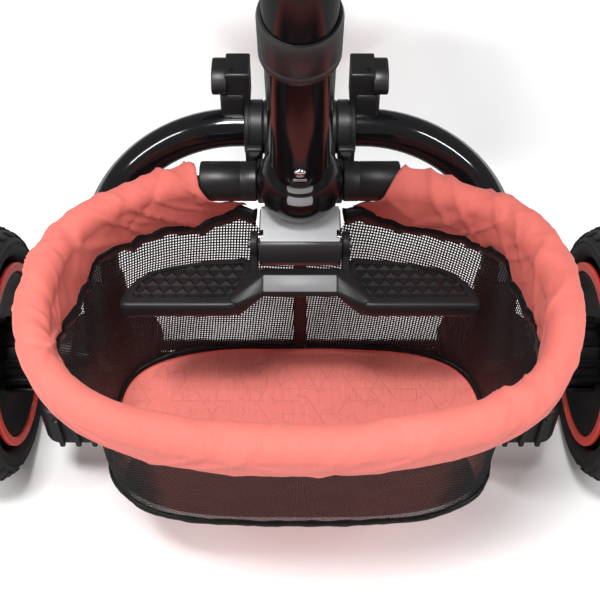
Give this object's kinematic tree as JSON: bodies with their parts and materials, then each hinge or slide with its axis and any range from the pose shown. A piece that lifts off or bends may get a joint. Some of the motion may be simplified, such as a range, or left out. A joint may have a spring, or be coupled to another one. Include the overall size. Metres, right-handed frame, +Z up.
{
  "type": "baby stroller",
  "caption": "Baby stroller: central push handle on a ball knuckle, oval fabric basket between chunky rear wheels, fold-up footrest, swivelling seat, caster front wheel.",
  "frame": {"origin": "on the ground, under the middle of the stroller's footprint", "axes": "+Y forward (the way it is pushed), +X to the stroller's right, +Z up"},
  "size_m": [0.512, 0.9036, 1.0647],
  "materials": {
    "tube_black": "glossy black paint",
    "gloss_black": "glossy",
    "matte_black": "matte, fine grain",
    "satin_grey": "satin",
    "steel": "bright",
    "tyre": "matte rubber",
    "coral_plastic": "satin",
    "coral_fabric": "woven polyester",
    "black_mesh": "open mesh",
    "grip_rubber": "matte"
  },
  "bodies": {
    "chassis": {"rear_hoop": "tube_black", "hub_housing": "matte_black", "hoop_clamp_left": "matte_black", "hoop_clamp_right": "matte_black", "basket_socket_left": "matte_black", "basket_socket_right": "matte_black", "basket_rim": "steel", "basket_sleeve": "coral_fabric", "basket_bag": "black_mesh", "basket_floor": "coral_fabric", "seat_adapter_left": "matte_black", "seat_adapter_right": "matte_black", "axle_rod": "steel", "axle_tube": "tube_black", "axle_housing_left": "matte_black", "axle_housing_right": "matte_black", "spine_tube": "tube_black", "head_housing": "matte_black", "hinge_knuckle": "satin_grey", "hinge_pin": "steel", "seat_stem": "matte_black"},
    "rear_wheel_left": {"rear_tyre_left": "tyre", "rear_rim_left": "matte_black", "rear_ring_inner_left": "coral_plastic", "rear_ring_outer_left": "coral_plastic"},
    "rear_wheel_right": {"rear_tyre_right": "tyre", "rear_rim_right": "matte_black", "rear_ring_inner_right": "coral_plastic", "rear_ring_outer_right": "coral_plastic"},
    "caster": {"front_fork": "matte_black", "front_axle": "steel"},
    "front_wheel": {"front_tyre": "tyre", "front_rim": "coral_plastic"},
    "footrest": {"footrest_frame": "matte_black", "footrest_tread_left": "grip_rubber", "footrest_tread_right": "grip_rubber"},
    "handle_lower": {"handle_ball": "gloss_black", "latch_window_upper": "satin_grey", "latch_window_lower": "satin_grey", "handle_tube": "tube_black", "handle_sleeve": "matte_black", "handle_lock": "matte_black"},
    "latch": {"latch_button": "steel"},
    "handle_upper": {"handle_slider": "tube_black", "handle_crossbar": "matte_black", "handle_grip_left": "grip_rubber", "handle_grip_right": "grip_rubber"},
    "seat": {"seat_turntable": "satin_grey", "seat_pan": "matte_black", "seat_cushion": "coral_fabric", "harness_buckle": "gloss_black"},
    "backrest": {"back_shell": "matte_black", "back_cushion": "coral_fabric", "head_pillow": "coral_fabric", "shoulder_pad_left": "grip_rubber", "shoulder_pad_right": "grip_rubber"},
    "leg_rest": {"leg_rest": "matte_black", "leg_cushion": "coral_fabric"},
    "bumper": {"bumper_bar": "grip_rubber"}
  },
  "joints": [
    {"name": "rear_left_spin", "type": "hinge", "parent": "chassis", "child": "rear_wheel_left", "pos_m": [-0.235, -0.1432, 0.098], "axis": [1, 0, 0], "continuous": true},
    {"name": "rear_right_spin", "type": "hinge", "parent": "chassis", "child": "rear_wheel_right", "pos_m": [0.235, -0.1432, 0.098], "axis": [1, 0, 0], "continuous": true},
    {"name": "caster_swivel", "type": "hinge", "parent": "chassis", "child": "caster", "pos_m": [0, 0.4168, 0.203], "axis": [0, 0, 1], "continuous": true},
    {"name": "front_wheel_spin", "type": "hinge", "parent": "caster", "child": "front_wheel", "pos_m": [0, 0.3768, 0.075], "axis": [1, 0, 0], "continuous": true},
    {"name": "footrest_fold", "type": "hinge", "parent": "chassis", "child": "footrest", "pos_m": [0, -0.1782, 0.258], "axis": [1, 0, 0], "range_deg": [-70, 0]},
    {"name": "handle_tilt", "type": "hinge", "parent": "chassis", "child": "handle_lower", "pos_m": [0, -0.1582, 0.293], "axis": [1, 0, 0], "range_deg": [0, 22]},
    {"name": "latch_press", "type": "slide", "parent": "handle_lower", "child": "latch", "axis": [0, 0.9397, 0.342], "range_m": [0, 0.0025], "stiffness_N_per_m": 800},
    {"name": "handle_extend", "type": "slide", "parent": "handle_lower", "child": "handle_upper", "axis": [0, -0.342, 0.9397], "range_m": [-0.09, 0]},
    {"name": "seat_swivel", "type": "hinge", "parent": "chassis", "child": "seat", "pos_m": [0, 0.0418, 0.463], "axis": [0, 0, 1], "range_deg": [0, 180]},
    {"name": "seat_recline", "type": "hinge", "parent": "seat", "child": "backrest", "pos_m": [0, -0.0532, 0.495], "axis": [1, 0, 0], "range_deg": [0, 15]},
    {"name": "leg_rest_lift", "type": "hinge", "parent": "seat", "child": "leg_rest", "pos_m": [0, 0.1538, 0.483], "axis": [1, 0, 0], "range_deg": [0, 75]},
    {"name": "bumper_swing", "type": "hinge", "parent": "seat", "child": "bumper", "pos_m": [0, -0.0032, 0.558], "axis": [1, 0, 0], "range_deg": [0, 60]}
  ]
}
